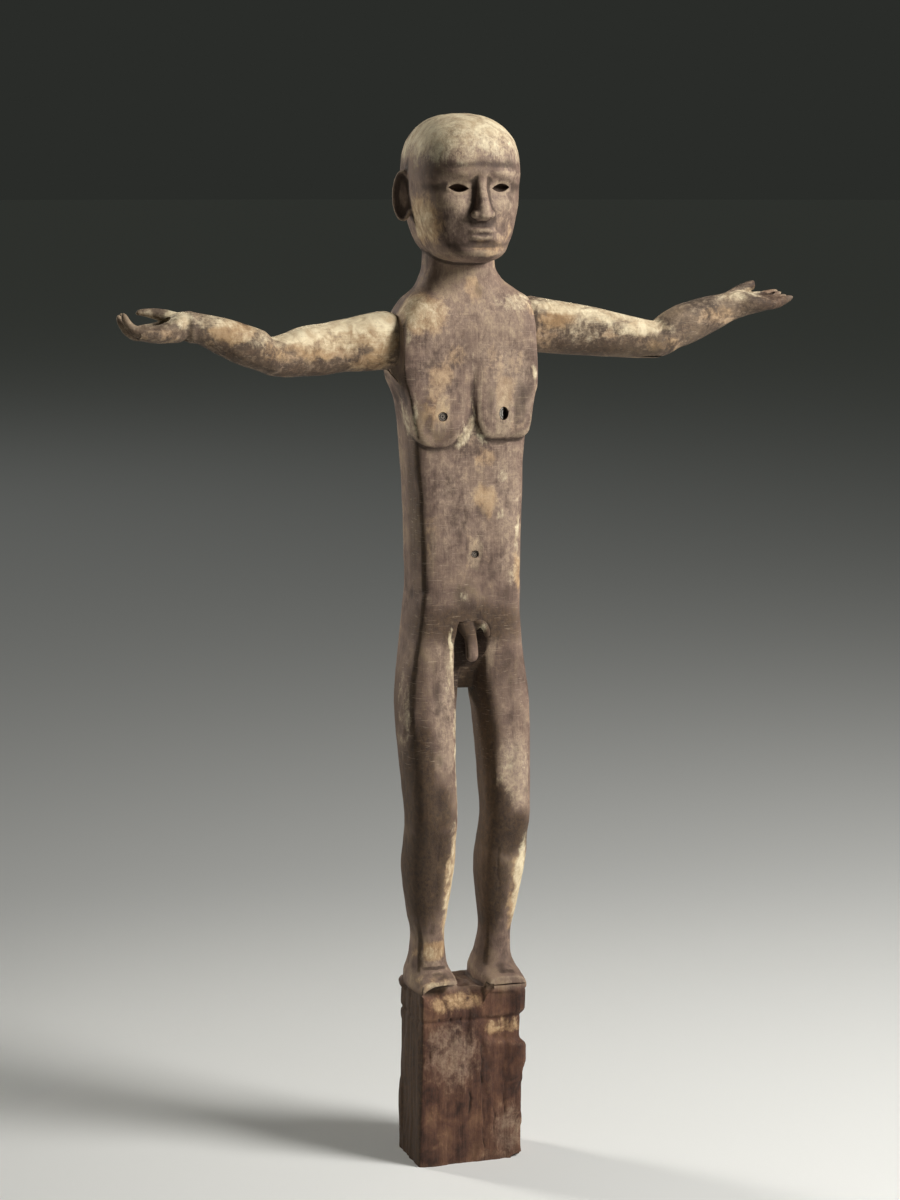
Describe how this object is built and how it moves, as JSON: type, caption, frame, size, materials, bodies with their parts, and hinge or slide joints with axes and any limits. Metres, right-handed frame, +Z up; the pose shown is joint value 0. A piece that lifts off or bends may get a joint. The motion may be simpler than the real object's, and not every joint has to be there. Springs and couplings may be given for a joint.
{
  "type": "ancestor figure",
  "caption": "Carved wooden ancestor figure standing on its block, arms stretched out to the sides, palms up.",
  "frame": {"origin": "centre of the block's flat underside", "axes": "+Z up through the block to the crown, the figure faces -Y, its right arm points to -X"},
  "size_m": [0.819, 0.1786, 1.25],
  "materials": {
    "weathered_hardwood": "weathered, with remains of whitewash",
    "whitewashed_hardwood": "weathered, worn whitewash",
    "peg_wood": "dry end grain"
  },
  "bodies": {
    "root": {"figure": "weathered_hardwood", "right_arm": "whitewashed_hardwood", "left_arm": "whitewashed_hardwood", "right_nipple_peg": "peg_wood", "left_nipple_peg": "peg_wood", "navel_peg": "peg_wood"}
  },
  "joints": []
}
